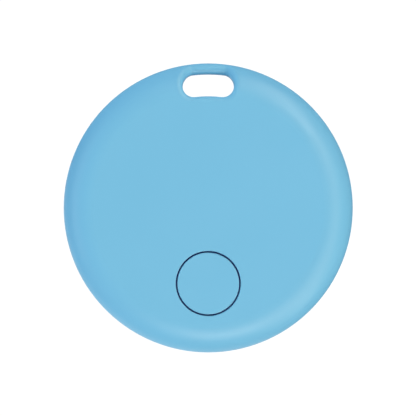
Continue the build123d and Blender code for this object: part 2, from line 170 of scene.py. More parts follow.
# %% [markdown]
# ## The room
#
# Behind a catalogue picture the paper is white, but the paper must not light the tag from every
# side, or the rim would lose its shape. The world therefore shows the camera one background and
# gives the tag another, much dimmer and cooler one. The floor is a pale disc below the tag. It is
# kept out of every ray but the camera's, because the lower softboxes shine up through the place
# where it lies.

# %% Make the world and the floor
PAPER_STRENGTH = 1.05
ROOM_COLOUR = (0.11, 0.2, 0.31, 1)

world = bpy.data.worlds.new("paper")
world.use_nodes = True
bpy.context.scene.world = world
room = world.node_tree
room.nodes.clear()
seen = room.nodes.new("ShaderNodeBackground")
seen.inputs["Color"].default_value = (1, 1, 1, 1)
seen.inputs["Strength"].default_value = PAPER_STRENGTH
felt = room.nodes.new("ShaderNodeBackground")
felt.inputs["Color"].default_value = ROOM_COLOUR
ray = room.nodes.new("ShaderNodeLightPath")
choice = room.nodes.new("ShaderNodeMixShader")
world_output = room.nodes.new("ShaderNodeOutputWorld")
room.links.new(ray.outputs["Is Camera Ray"], choice.inputs["Fac"])
room.links.new(felt.outputs["Background"], choice.inputs[1])
room.links.new(seen.outputs["Background"], choice.inputs[2])
room.links.new(choice.outputs["Shader"], world_output.inputs["Surface"])

FLOOR_RADIUS = 0.65
FLOOR_Z = -0.06
bpy.ops.object.select_all(action="DESELECT")
bpy.ops.mesh.primitive_circle_add(
    vertices=128, radius=FLOOR_RADIUS, fill_type="NGON", location=(0, 0, FLOOR_Z)
)
floor = bpy.context.object
floor.name = "floor"
bpy.ops.object.transform_apply(location=True)
floor.visible_diffuse = False
floor.visible_glossy = False
floor.visible_shadow = False
floor.visible_transmission = False
print("floor at z", FLOOR_Z)

# %% [markdown]
# ## How the finishes are built
#
# A moulded, stamped or fired surface is never one flat colour. What the eye takes as "plastic" or
# "steel" is a fine relief, a slow drift of tone and a roughness that changes where hands touch.
# These effects repeat from material to material, so each is made once as a node group with named
# inputs and outputs, and each material sets its own values. The shader itself stays in the
# material. Small helpers save typing: they make an empty group, add a node, or use a group that
# was made before.


# %% Helpers for node trees
def new_group(name, inputs, outputs):
    """Make an empty shader group with named float, colour or vector sockets."""
    group = bpy.data.node_groups.new(name, "ShaderNodeTree")
    for label, kind, value in inputs:
        socket = group.interface.new_socket(label, in_out="INPUT", socket_type=kind)
        socket.default_value = value
    for label, kind in outputs:
        group.interface.new_socket(label, in_out="OUTPUT", socket_type=kind)
    entry = group.nodes.new("NodeGroupInput")
    exit_ = group.nodes.new("NodeGroupOutput")
    return group, entry.outputs, exit_.inputs


def add_node(tree, kind, links=None, **settings):
    """Add a node, set its properties, then link or set its input sockets."""
    node = tree.nodes.new(kind)
    for name, value in settings.items():
        setattr(node, name, value)
    for socket, value in (links or {}).items():
        if isinstance(value, bpy.types.NodeSocket):
            tree.links.new(value, node.inputs[socket])
        else:
            node.inputs[socket].default_value = value
    return node


def calculate(tree, operation, first, second=0.0):
    """Add a Math node and return its result."""
    return add_node(
        tree, "ShaderNodeMath", {0: first, 1: second}, operation=operation
    ).outputs["Value"]


FLOAT = "NodeSocketFloat"
COLOUR = "NodeSocketColor"
VECTOR = "NodeSocketVector"
MIX_FIRST = 6
MIX_SECOND = 7
MIX_RESULT = 2


def blend_colours(tree, share, first, second, how="MIX"):
    """Mix two colours by a share and return the result."""
    mix = add_node(
        tree,
        "ShaderNodeMix",
        {0: share, MIX_FIRST: first, MIX_SECOND: second},
        data_type="RGBA",
        blend_type=how,
    )
    return mix.outputs[MIX_RESULT]


def group_node(tree, group, **values):
    """Add a node group and set its inputs, whose names are written with a capital."""
    links = {name.capitalize(): value for name, value in values.items()}
    return add_node(tree, "ShaderNodeGroup", links, node_tree=group)


def place_on_object(tree):
    """The point's place in the tag's own axes, in metres."""
    return tree.nodes.new("ShaderNodeTexCoord").outputs["Object"]


print("node helpers are ready")

# %% [markdown]
# ### Grain
#
# A mould is spark-eroded to hide flow marks, which leaves tiny even bumps on the plastic. Two
# layers of noise give that: a fine one for the texture and one three times coarser, so that the
# bumps don't look like a regular print. The group puts out the normal that the relief gives.

# %% Group: grain
grain, entry, exit_ = new_group(
    "grain",
    [("Scale", FLOAT, 6000.0), ("Depth", FLOAT, 0.00001)],
    [("Normal", VECTOR)],
)
where = place_on_object(grain)
fine = add_node(
    grain, "ShaderNodeTexNoise", {"Vector": where, "Scale": entry["Scale"], "Detail": 2.0}
)
COARSER = 3.0
coarse_scale = calculate(grain, "DIVIDE", entry["Scale"], COARSER)
coarse = add_node(
    grain, "ShaderNodeTexNoise", {"Vector": where, "Scale": coarse_scale, "Detail": 1.0}
)
height = calculate(grain, "ADD", fine.outputs["Fac"], coarse.outputs["Fac"])
height = calculate(grain, "MULTIPLY", height, 0.5)
relief = add_node(grain, "ShaderNodeBump", {"Distance": entry["Depth"], "Height": height})
grain.links.new(relief.outputs["Normal"], exit_["Normal"])
print("group", grain.name)

# %% [markdown]
# ### Tone drift
#
# Pigment never spreads quite evenly through a part, so its colour wanders by a few percent over
# some millimetres. Multiplying the colour by a slow noise round one keeps the mean colour as it
# was set.

# %% Group: tone drift
drift, entry, exit_ = new_group(
    "tone_drift",
    [("Colour", COLOUR, (1, 1, 1, 1)), ("Scale", FLOAT, 150.0), ("Amount", FLOAT, 0.05)],
    [("Colour", COLOUR)],
)
cloud = add_node(
    drift,
    "ShaderNodeTexNoise",
    {"Vector": place_on_object(drift), "Scale": entry["Scale"], "Detail": 3.0},
)
swing = calculate(drift, "SUBTRACT", cloud.outputs["Fac"], 0.5)
swing = calculate(drift, "MULTIPLY", swing, entry["Amount"])
swing = calculate(drift, "ADD", swing, 1.0)
grey = add_node(drift, "ShaderNodeCombineColor", {"Red": swing, "Green": swing, "Blue": swing})
drift.links.new(
    blend_colours(drift, 1.0, entry["Colour"], grey.outputs["Color"], "MULTIPLY"),
    exit_["Colour"],
)
print("group", drift.name)

# %% [markdown]
# ### Handling
#
# Fingers leave a thin, patchy film that changes how sharply a surface mirrors, and not its colour.
# A soft-edged noise added to the roughness does this on plastic and metal alike.

# %% Group: handling
handling, entry, exit_ = new_group(
    "handling",
    [("Roughness", FLOAT, 0.5), ("Scale", FLOAT, 120.0), ("Amount", FLOAT, 0.1)],
    [("Roughness", FLOAT)],
)
film = add_node(
    handling,
    "ShaderNodeTexNoise",
    {"Vector": place_on_object(handling), "Scale": entry["Scale"], "Distortion": 0.6},
)
patch = add_node(
    handling,
    "ShaderNodeMapRange",
    {
        "Value": film.outputs["Fac"],
        "From Min": 0.35,
        "From Max": 0.65,
        "To Min": -0.5,
        "To Max": 0.5,
    },
    interpolation_type="SMOOTHSTEP",
)
change = calculate(handling, "MULTIPLY", patch.outputs["Result"], entry["Amount"])
handling.links.new(calculate(handling, "ADD", entry["Roughness"], change), exit_["Roughness"])
print("group", handling.name)

# %% [markdown]
# ### Edge wear and painted edge highlight
#
# Where two faces meet, a part is rubbed first: paint thins, metal brightens, plastic turns
# slightly pale. The mask is also a painted edge highlight: every edge is made paler, whichever way
# the light falls. The Bevel node gives the normal that a small rounding would have. Where it
# differs from the true normal there is an edge, whichever way the part is turned. A noise breaks
# the line up, so it looks rubbed and not drawn.

# %% Group: edge wear and painted edge highlight
edges, entry, exit_ = new_group(
    "edge_wear_and_highlight",
    [("Radius", FLOAT, 0.0001), ("Scale", FLOAT, 1500.0), ("Amount", FLOAT, 0.5)],
    [("Mask", FLOAT)],
)
rounded = add_node(edges, "ShaderNodeBevel", {"Radius": entry["Radius"]}, samples=4)
true_normal = edges.nodes.new("ShaderNodeNewGeometry").outputs["Normal"]
agreement = add_node(
    edges,
    "ShaderNodeVectorMath",
    {0: rounded.outputs["Normal"], 1: true_normal},
    operation="DOT_PRODUCT",
).outputs["Value"]
edge = calculate(edges, "SUBTRACT", 1.0, agreement)
EDGE_CONTRAST = 6.0
edge = calculate(edges, "MULTIPLY", edge, EDGE_CONTRAST)
rub_and_highlight = add_node(
    edges,
    "ShaderNodeTexNoise",
    {"Vector": place_on_object(edges), "Scale": entry["Scale"], "Detail": 4.0},
)
edge = calculate(edges, "MULTIPLY", edge, rub_and_highlight.outputs["Fac"])
edge = calculate(edges, "MULTIPLY", edge, entry["Amount"])
edges.links.new(calculate(edges, "MINIMUM", edge, 1.0), exit_["Mask"])
print("group", edges.name)

# %% [markdown]
# ### Brushed streaks
#
# Sheet metal keeps the lines of the rolls and of the brush. Stretching a noise a hundred times
# along one axis makes them. The stretch is an input, so that one group serves a strip that is
# brushed along X and a can that is brushed along Z.

# %% Group: brushed streaks
brushed, entry, exit_ = new_group(
    "brushed",
    [("Stretch", VECTOR, (30, 3000, 3000)), ("Depth", FLOAT, 0.000004)],
    [("Streak", FLOAT), ("Normal", VECTOR)],
)
stretched = add_node(
    brushed,
    "ShaderNodeVectorMath",
    {0: place_on_object(brushed), 1: entry["Stretch"]},
    operation="MULTIPLY",
)
line = add_node(
    brushed,
    "ShaderNodeTexNoise",
    {"Vector": stretched.outputs["Vector"], "Scale": 1.0, "Detail": 4.0},
)
relief = add_node(
    brushed, "ShaderNodeBump", {"Distance": entry["Depth"], "Height": line.outputs["Fac"]}
)
brushed.links.new(line.outputs["Fac"], exit_["Streak"])
brushed.links.new(relief.outputs["Normal"], exit_["Normal"])
print("group", brushed.name)

# %% [markdown]
# ### Speckle
#
# Fired ceramic, ferrite and pressed powder are made of grains that differ in colour. Voronoi
# cells have one random colour each, and its red part says how far a grain lies between the two
# colours of the material.

# %% Group: speckle
speckle, entry, exit_ = new_group(
    "speckle",
    [("Dark", COLOUR, (0, 0, 0, 1)), ("Light", COLOUR, (1, 1, 1, 1)), ("Scale", FLOAT, 5000.0)],
    [("Colour", COLOUR)],
)
cells = add_node(
    speckle,
    "ShaderNodeTexVoronoi",
    {"Vector": place_on_object(speckle), "Scale": entry["Scale"]},
)
value = add_node(speckle, "ShaderNodeSeparateColor", {"Color": cells.outputs["Color"]})
speckle.links.new(
    blend_colours(speckle, value.outputs["Red"], entry["Dark"], entry["Light"]),
    exit_["Colour"],
)
print("group", speckle.name)

# %% [markdown]
# ## The finishes
#
# One function makes the materials that are moulded: plastic, rubber, epoxy. They differ in colour,
# roughness and in the size of their grain, which the function takes as values. What is the same
# all over the surface is set on the shader's own sockets. Colour, roughness and normal vary over
# the surface, so they are linked, and a helper does that for every material here.


# %% Functions: an empty material and a moulded one
def new_material(name):
    """A material with nothing but its Principled shader."""
    material = bpy.data.materials.new(name)
    material.use_nodes = True
    tree = material.node_tree
    return material, tree, tree.nodes["Principled BSDF"]


def connect(tree, shader, colour, roughness, relief):
    """Link the three things that vary over a surface to its shader."""
    tree.links.new(colour, shader.inputs["Base Color"])
    tree.links.new(roughness, shader.inputs["Roughness"])
    tree.links.new(relief.outputs["Normal"], shader.inputs["Normal"])


def moulded(name, colour, roughness, grain_scale, grain_depth, drift_amount=0.06, worn_and_highlight=None):
    """A moulded plastic or rubber with grain, tone drift, handling and paler edges: wear and
    painted highlight.
    """
    material, tree, shader = new_material(name)
    surface = group_node(tree, grain, scale=grain_scale, depth=grain_depth)
    tone = group_node(tree, drift, colour=(*colour, 1), amount=drift_amount)
    touch = group_node(tree, handling, roughness=roughness, amount=0.06)
    shown = tone.outputs["Colour"]
    if worn_and_highlight:
        rub_and_highlight = group_node(tree, edges, amount=0.5)
        # Paler edges: rubbed wear and a painted edge highlight.
        shown = blend_colours(tree, rub_and_highlight.outputs["Mask"], shown, (*worn_and_highlight, 1))
    connect(tree, shader, shown, touch.outputs["Roughness"], surface)
    return material


# %% Moulded materials
case_plastic = moulded("sky_blue_plastic", (0.165, 0.466, 0.668), 0.44, 7000, 0.000001, 0.02)
# The navy silicone is partly painted shade: it is made very dark to stand for the shade in the
# narrow gap round the button, where the seal shows, as well as being the seal's own colour.
silicone_and_gap_shade = moulded("navy_silicone_and_gap_shade", (0.006, 0.024, 0.130), 0.66, 9000, 0.000004, 0.15)
frame_plastic = moulded(
    "ivory_plastic", (0.66, 0.65, 0.60), 0.50, 5000, 0.000003, 0.05, worn_and_highlight=(0.80, 0.80, 0.76)
)
black_plastic = moulded(
    "black_nylon", (0.022, 0.022, 0.024), 0.48, 9000, 0.000004, 0.2, worn_and_highlight=(0.09, 0.09, 0.09)
)
epoxy = moulded(
    "black_epoxy", (0.016, 0.016, 0.018), 0.55, 14000, 0.000006, 0.25, worn_and_highlight=(0.06, 0.06, 0.065)
)
gasket_nylon = moulded(
    "grey_nylon", (0.24, 0.24, 0.23), 0.55, 8000, 0.000003, 0.1, worn_and_highlight=(0.4, 0.4, 0.39)
)
glue = moulded("cured_glue", (0.62, 0.54, 0.34), 0.35, 2500, 0.00002, 0.2)
print("moulded materials:", len(bpy.data.materials))

# %% [markdown]
# ### Metals
#
# Metal parts are cut from rolled strip or turned. Their colour is in their mirror image, so the
# shader's Metallic is a plain 1. The streaks change the relief and a little of the tone, and the
# rubbed edges are brighter than the faces, which is wear and also a painted edge highlight.


# %% Function: a metal
def metal(name, colour, roughness, stretch, worn_and_highlight, tarnish=0.12):
    """A stamped or turned metal with streaks along the stretch's smallest axis."""
    material, tree, shader = new_material(name)
    shader.inputs["Metallic"].default_value = 1.0
    streaks = group_node(tree, brushed, stretch=stretch)
    tone = group_node(tree, drift, colour=(*colour, 1), scale=400.0, amount=tarnish)
    touch = group_node(tree, handling, roughness=roughness, amount=0.12)
    rub_and_highlight = group_node(tree, edges, amount=0.8)
    dim = blend_colours(tree, 0.15, tone.outputs["Colour"], streaks.outputs["Streak"], "OVERLAY")
    # Brighter edges: wear and a painted edge highlight.
    shown = blend_colours(tree, rub_and_highlight.outputs["Mask"], dim, (*worn_and_highlight, 1))
    connect(tree, shader, shown, touch.outputs["Roughness"], streaks)
    return material


# %% Metals
ALONG_X = (60, 9000, 9000)
ALONG_Z = (9000, 9000, 60)
MATT = (9000, 9000, 9000)
steel = metal("stamped_steel", (0.60, 0.60, 0.58), 0.30, ALONG_X, (0.85, 0.85, 0.83))
cell_steel = metal("nickel_steel", (0.66, 0.66, 0.63), 0.22, ALONG_Z, (0.9, 0.9, 0.87))
brass = metal("rolled_brass", (0.76, 0.55, 0.22), 0.28, ALONG_X, (0.95, 0.78, 0.42))
tin = metal("solder_tin", (0.70, 0.71, 0.72), 0.26, MATT, (0.85, 0.86, 0.87), tarnish=0.25)
gold = metal("gold_flash", (0.90, 0.64, 0.25), 0.24, MATT, (1.0, 0.80, 0.45))
silver = metal("fired_silver", (0.78, 0.77, 0.73), 0.55, MATT, (0.85, 0.85, 0.82), tarnish=0.3)
print("materials so far:", len(bpy.data.materials))

# %% [markdown]
# ### Ceramics and powders
#
# Chip capacitors, ferrite, the sounder's disc and the cell's pressed core are all powders that were
# fired or pressed. They share the speckle group and differ in its two colours and its scale.


# %% Function: a sintered material
def sintered(name, dark, light, scale, roughness, depth):
    """A fired or pressed powder: grains of two colours under a fine relief."""
    material, tree, shader = new_material(name)
    shader.inputs["Specular IOR Level"].default_value = 0.4
    grains = group_node(tree, speckle, dark=(*dark, 1), light=(*light, 1), scale=scale)
    surface = group_node(tree, grain, scale=scale, depth=depth)
    touch = group_node(tree, handling, roughness=roughness, amount=0.1)
    rub_and_highlight = group_node(tree, edges, amount=0.4)
    # Edges blend to the light colour: rubbed wear and a painted edge highlight.
    shown = blend_colours(tree, rub_and_highlight.outputs["Mask"], grains.outputs["Colour"], (*light, 1))
    connect(tree, shader, shown, touch.outputs["Roughness"], surface)
    return material


# %% Ceramics and powders
ferrite = sintered("ferrite", (0.030, 0.030, 0.034), (0.075, 0.074, 0.08), 9000, 0.6, 0.00001)
chip_ceramic = sintered(
    "tan_ceramic", (0.42, 0.28, 0.15), (0.56, 0.41, 0.25), 12000, 0.5, 0.000004
)
white_ceramic = sintered(
    "white_ceramic", (0.66, 0.64, 0.58), (0.80, 0.78, 0.73), 6000, 0.5, 0.000004
)
cell_core = sintered(
    "pressed_powder", (0.035, 0.035, 0.037), (0.14, 0.14, 0.145), 5000, 0.8, 0.00003
)
print("materials so far:", len(bpy.data.materials))

# %% [markdown]
# ### The circuit board
#
# A board is woven glass in resin under a green lacquer. The lacquer is glossy, and the weave just
# shows through it as a fine grid, because the threads lie over and under each other. Two waves at
# right angles give the threads, and taking the higher of the two at each point makes them cross.
# Where a thread stands up the lacquer is thinner, so it is also a little lighter there.

# %% Board material
board_green, tree, shader = new_material("green_board")
shader.inputs["Coat Weight"].default_value = 0.4
shader.inputs["Coat Roughness"].default_value = 0.12
WEAVE_SCALE = 900
threads = []
for direction in ("X", "Z"):
    wave = add_node(
        tree,
        "ShaderNodeTexWave",
        {"Vector": place_on_object(tree), "Scale": WEAVE_SCALE, "Distortion": 0.4},
        bands_direction=direction,
    )
    threads.append(wave.outputs["Fac"])
weave = calculate(tree, "MAXIMUM", *threads)
tone = group_node(tree, drift, colour=(0.012, 0.105, 0.040, 1), scale=300.0, amount=0.2)
thin = calculate(tree, "MULTIPLY", weave, 0.25)
lacquer = blend_colours(tree, thin, tone.outputs["Colour"], (0.06, 0.24, 0.10, 1))
relief = add_node(tree, "ShaderNodeBump", {"Distance": 0.000003, "Height": weave})
touch = group_node(tree, handling, roughness=0.35, amount=0.1)
connect(tree, shader, lacquer, touch.outputs["Roughness"], relief)
print("material", board_green.name)

# %% [markdown]
# ### Lacquered copper
#
# Copper tracks lie under the same green lacquer, which looks lighter and warmer over metal. The
# board's grain is too coarse for them, so they are a moulded finish in a lighter green.

# %% Lacquered copper
lacquered = moulded("lacquered_copper", (0.055, 0.260, 0.095), 0.30, 6000, 0.000003, 0.25)
print("material", lacquered.name)

# %% [markdown]
# ### Foam
#
# Cut foam shows its open cells as round pits. The distance to the nearest Voronoi point is low in
# the middle of a cell and high at its walls: as a height it makes pits, and as a mask it paints
# shade into the pits, darker than the walls.

# %% Foam material
foam, tree, shader = new_material("open_foam")
shader.inputs["Specular IOR Level"].default_value = 0.2
pores = add_node(
    tree, "ShaderNodeTexVoronoi", {"Vector": place_on_object(tree), "Scale": 4500.0}
)
shade = add_node(
    tree,
    "ShaderNodeMapRange",
    {"Value": pores.outputs["Distance"], "From Min": 0.1, "From Max": 0.7},
)
# Painted shade: the pits get the darker colour, as if shaded.
shown = blend_colours(
    tree, shade.outputs["Result"], (0.012, 0.012, 0.014, 1), (0.055, 0.055, 0.060, 1)
)
relief = add_node(
    tree, "ShaderNodeBump", {"Distance": 0.00006, "Height": shade.outputs["Result"]}
)
dry = calculate(tree, "MULTIPLY", shade.outputs["Result"], 0.15)
connect(tree, shader, shown, calculate(tree, "ADD", dry, 0.8), relief)
print("material", foam.name)

# %% [markdown]
# ### The floor
#
# The studio floor is matt painted board. It is plain, but paint that was rolled on still has a
# very faint texture.

# %% Floor material
floor_paint, tree, shader = new_material("floor_paint")
shader.inputs["Specular IOR Level"].default_value = 0.1
tone = group_node(tree, drift, colour=(0.89, 0.86, 0.83, 1), scale=8.0, amount=0.02)
touch = group_node(tree, handling, roughness=0.85, scale=12.0, amount=0.05)
tree.links.new(tone.outputs["Colour"], shader.inputs["Base Color"])
tree.links.new(touch.outputs["Roughness"], shader.inputs["Roughness"])
floor.data.materials.append(floor_paint)
print("material", floor_paint.name)

# %% [markdown]
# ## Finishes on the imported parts
#
# The frame's record names a material slot for each part, so the finish follows from the record
# and nothing is listed twice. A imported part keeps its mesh. Only what fills its material slot
# changes. The cell's metal is brighter than the stamped contacts, so it has its own finish.

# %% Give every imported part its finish
finishes = {
    "case_plastic": case_plastic,
    "dark_silicone": silicone_and_gap_shade,
    "foam": foam,
    "frame_plastic": frame_plastic,
    "steel": steel,
    "board": board_green,
    "black_epoxy": epoxy,
    "ferrite": ferrite,
    "chip_ceramic": chip_ceramic,
    "brass": brass,
    "black_plastic": black_plastic,
    "adhesive": glue,
    "white_ceramic": white_ceramic,
    "cell_gasket": gasket_nylon,
    "cell_core": cell_core,
}
for part in frame["record"]["subparts"]:
    mesh = nodes[part["node"]].data
    mesh.materials.clear()
    mesh.materials.append(finishes[part["material_slot"]])
for name in ("battery_can", "battery_cap"):
    nodes[name].data.materials[0] = cell_steel

# %% [markdown]
# ## How the small parts are modelled
#
# The parts that follow are too fine for the CAD model: end caps, legs, pads, ribs. Each one starts
# as a primitive at its real size and place and is then shaped in edit mode, as one would by hand.
# Operators act on whatever is selected, so a helper first clears the selection and then picks
# faces or edges by where they are. Another helper closes a part: it merges doubled points, turns
# the faces outwards, smooths the shallow angles and ties the part to the body it moves with.


# %% Helpers for modelling
WELD = 0.001 * MM


def primitive(name, add, scale=(1, 1, 1), **settings):
    """Add a primitive with its place in its mesh, so that its object stays at the origin."""
    bpy.ops.object.select_all(action="DESELECT")
    add(**settings)
    piece = bpy.context.object
    piece.scale = scale
    piece.name = name
    piece.data.name = name
    bpy.ops.object.transform_apply(location=True, rotation=True, scale=True)
    return piece


def everything(middle, direction):
    """A rule that picks all."""
    return True


@contextmanager
def editing(piece, rule=everything, kind="FACE"):
    """Edit a piece with those faces or edges selected whose middle and direction suit a rule."""
    bpy.ops.object.select_all(action="DESELECT")
    bpy.context.view_layer.objects.active = piece
    piece.select_set(True)
    bpy.ops.object.mode_set(mode="EDIT")
    bpy.ops.mesh.select_mode(type=kind)
    bpy.ops.mesh.select_all(action="DESELECT")
    bpy.ops.object.mode_set(mode="OBJECT")
    mesh = piece.data
    if kind == "FACE":
        for face in mesh.polygons:
            face.select = rule(face.center, face.normal)
    else:
        for edge in mesh.edges:
            first, last = (mesh.vertices[index].co for index in edge.vertices)
            edge.select = rule((first + last) / 2, last - first)
    bpy.ops.object.mode_set(mode="EDIT")
    yield
    bpy.ops.object.mode_set(mode="OBJECT")


def extrude(x=0.0, y=0.0, z=0.0):
    """Extrude what is selected by a step."""
    bpy.ops.mesh.extrude_region_move(TRANSFORM_OT_translate={"value": (x, y, z)})


def close_piece(piece, material, body="case", smooth=35):
    """Apply modifiers, clean the mesh, give it its finish and let it ride on a body."""
    bpy.ops.object.select_all(action="DESELECT")
    bpy.context.view_layer.objects.active = piece
    piece.select_set(True)
    for name in [modifier.name for modifier in piece.modifiers]:
        bpy.ops.object.modifier_apply(modifier=name)
    with editing(piece):
        bpy.ops.mesh.remove_doubles(threshold=WELD)
        bpy.ops.mesh.select_all(action="SELECT")
        bpy.ops.mesh.normals_make_consistent(inside=False)
    bpy.ops.object.shade_smooth_by_angle(angle=radians(smooth))
    piece.data.materials.clear()
    piece.data.materials.append(material)
    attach(piece, body)
    print(piece.name, "has", len(piece.data.polygons), "faces and rides on", body)


def copy_to(model, name, places):
    """Copy a model made at the origin to each place and turn, and join the copies."""
    twins = []
    for x, y, z, turn in places:
        twin = model.copy()
        twin.data = model.data.copy()
        bpy.context.scene.collection.objects.link(twin)
        twin.matrix_world = Matrix.Translation((x, y, z)) @ Matrix.Rotation(turn, 4, "Y")
        twins.append(twin)
    bpy.data.objects.remove(model)
    bpy.ops.object.select_all(action="DESELECT")
    for twin in twins:
        twin.select_set(True)
    bpy.context.view_layer.objects.active = twins[0]
    bpy.ops.object.join()
    bpy.ops.object.transform_apply(location=True, rotation=True, scale=True)
    twins[0].name = name
    twins[0].data.name = name
    return twins[0]


print("modelling helpers are ready")

# %% [markdown]
# ### Turned parts
#
# Rings, discs and beads about the tag's depth axis are all one idea: a rounded rectangle swept
# round. The section is a plane whose corners are bevelled. Its face is deleted, because only the
# outline is to be spun, and after the spin the seam's doubled points are merged when the part is
# closed. A disc is the same with an inner radius of nothing.


# %% Function: spin a rounded section
def turned(name, inner, outer, front, rear, rounding, x=0.0, z=0.0, steps=64):
    """Spin a rounded section from one radius to another about a line through (x, z)."""
    depth = rear - front
    piece = primitive(
        name,
        bpy.ops.mesh.primitive_plane_add,
        size=1,
        location=(x + (inner + outer) / 2, front + depth / 2, z),
        scale=(outer - inner, depth, 1),
    )
    with editing(piece):
        bpy.ops.mesh.bevel(offset=rounding, segments=3, affect="VERTICES")
        bpy.ops.mesh.select_all(action="SELECT")
        bpy.ops.mesh.delete(type="ONLY_FACE")
        bpy.ops.mesh.select_all(action="SELECT")
        bpy.ops.mesh.spin(steps=steps, angle=2 * pi, center=(x, 0, z), axis=(0, 1, 0))
    return piece


# %% [markdown]
# ## The door's foam pad
#
# Inside the door a ring of black foam presses the cell forward, so that it doesn't rattle. It is
# punched from sheet, so its faces are flat where the door and the cell hold it, and its free edges
# are rounded because the foam bulges there. The plain CAD ring stays in the model for its mass and
# is hidden here.

# %% Foam pad
FOAM_SIDE_GAP = 0.03 * MM
FOAM_FRONT_GAP = 0.02 * MM
FOAM_ROUND = 0.08 * MM
pad_low, pad_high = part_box("door_pad")
pad_outer = (pad_high.x - pad_low.x) / 2
pad_inner = pad_outer / 2
foam_pad = turned(
    "foam_pad",
    pad_inner + FOAM_SIDE_GAP,
    pad_outer - FOAM_SIDE_GAP,
    pad_low.y + FOAM_FRONT_GAP,
    pad_high.y,
    FOAM_ROUND,
    z=(pad_low.z + pad_high.z) / 2,
    steps=96,
)
close_piece(foam_pad, foam, body="door")
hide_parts("door_pad")

# %% [markdown]
# ## Where the chips are
#
# The capacitors are one node with eight separate bodies, and so are the six resistors. Their
# places are read from a copy: its doubled points are merged, it is split into loose parts, each
# part's box is noted, and the copies are thrown away.


# %% Find the loose bodies of a node
def loose_boxes(name):
    """The lowest and highest corners of each separate body in a CAD node."""
    spare = nodes[name].copy()
    spare.data = nodes[name].data.copy()
    spare.parent = None
    bpy.context.scene.collection.objects.link(spare)
    with editing(spare):
        bpy.ops.mesh.remove_doubles(threshold=WELD)
        bpy.ops.mesh.select_all(action="SELECT")
        bpy.ops.mesh.separate(type="LOOSE")
    boxes = []
    for part in list(bpy.context.selected_objects):
        points = [corner.co for corner in part.data.vertices]
        low = Vector([min(point[axis] for point in points) for axis in range(3)])
        high = Vector([max(point[axis] for point in points) for axis in range(3)])
        boxes.append((low, high))
        bpy.data.objects.remove(part)
    return sorted(boxes, key=lambda box: (round(box[0].x, 6), round(box[0].z, 6)))


capacitor_boxes = loose_boxes("capacitors")
resistor_boxes = loose_boxes("resistors")
print("capacitors:", len(capacitor_boxes), "resistors:", len(resistor_boxes))

# %% [markdown]
# ## End caps of the chips
#
# A chip part is soldered by its two ends, which are dipped in tin that wraps round five sides. One
# cap is modelled at the origin: a box whose inner face is deleted, whose edges are rounded, and
# which gets a thin wall by Solidify. It is then copied to both ends of every chip, turned to face
# outwards.

# %% Chip end caps
CAP_REACH = 0.24 * MM
CAP_WALL = 0.02 * MM
CAP_ROUND = 0.05 * MM


def end_cap(box):
    """One tinned cap, open towards -X, for chips of this box's size."""
    low, high = box
    width = min(high.x - low.x, high.z - low.z) + 2 * CAP_WALL
    height = high.y - low.y + CAP_WALL
    cap = primitive(
        "end_cap",
        bpy.ops.mesh.primitive_cube_add,
        size=1,
        location=(-CAP_REACH / 2, 0, 0),
        scale=(CAP_REACH, height, width),
    )
    with editing(cap, lambda middle, normal: normal.x < -0.9):
        bpy.ops.mesh.delete(type="FACE")
    with editing(cap, lambda middle, step: middle.x > -CAP_REACH / 4, kind="EDGE"):
        bpy.ops.mesh.bevel(offset=CAP_ROUND, segments=3)
    wall = cap.modifiers.new("wall", "SOLIDIFY")
    wall.thickness = CAP_WALL
    wall.offset = -1
    return cap


def cap_places(boxes):
    """Both ends of each chip, with the turn that points a cap outwards."""
    places = []
    for low, high in boxes:
        middle = (low + high) / 2
        along_x = high.x - low.x > high.z - low.z
        reach = (high.x - low.x if along_x else high.z - low.z) / 2 + CAP_WALL
        depth = middle.y - CAP_WALL / 2
        for side in (1, -1):
            if along_x:
                places.append((middle.x + side * reach, depth, middle.z, 0 if side > 0 else pi))
            else:
                places.append((middle.x, depth, middle.z + side * reach, -side * pi / 2))
    return places


for name, boxes in (("capacitor_caps", capacitor_boxes), ("resistor_caps", resistor_boxes)):
    close_piece(copy_to(end_cap(boxes[0]), name, cap_places(boxes)), tin)

# %% [markdown]
# ## Solder fillets round the radio chip
#
# The radio chip has no legs. Pads under its edge are soldered to the board, and what shows is a
# small wedge of solder at each one. A wedge is a box whose top is pulled in against the chip. One
# wedge is modelled and laid along all four sides.

# %% Radio chip fillets
chip_low, chip_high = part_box("ble_chip")
chip_middle = (chip_low + chip_high) / 2
PADS_PER_SIDE = 8
PAD_PITCH = 0.5 * MM
WEDGE = Vector((0.16, 0.14, 0.26)) * MM
wedge = primitive("wedge", bpy.ops.mesh.primitive_cube_add, size=1, scale=WEDGE)
with editing(wedge, lambda middle, normal: normal.y < -0.9):
    bpy.ops.transform.resize(value=(0.3, 1, 0.8), center_override=(-WEDGE.x / 2, 0, 0))
with editing(wedge, kind="EDGE"):
    bpy.ops.mesh.bevel(offset=0.02 * MM, segments=2)
half = (chip_high.x - chip_low.x + WEDGE.x) / 2
pad_places = []
for quarter in range(4):
    turn = quarter * pi / 2
    for index in range(PADS_PER_SIDE):
        along = (index - (PADS_PER_SIDE - 1) / 2) * PAD_PITCH
        x = chip_middle.x + half * cos(turn) + along * sin(turn)
        z = chip_middle.z - half * sin(turn) + along * cos(turn)
        pad_places.append((x, board_front - WEDGE.y / 2, z, turn))
close_piece(copy_to(wedge, "radio_fillets", pad_places), tin)

# %% [markdown]
# ## Legs of the driver transistor
#
# The transistor that drives the sounder stands on three bent legs, two on one side and one on the
# other. A leg is a strip: a small plane is extruded step by step outwards, down to the board and
# out again into a foot. Solidify gives it its thickness and Bevel takes off the sharp edges.

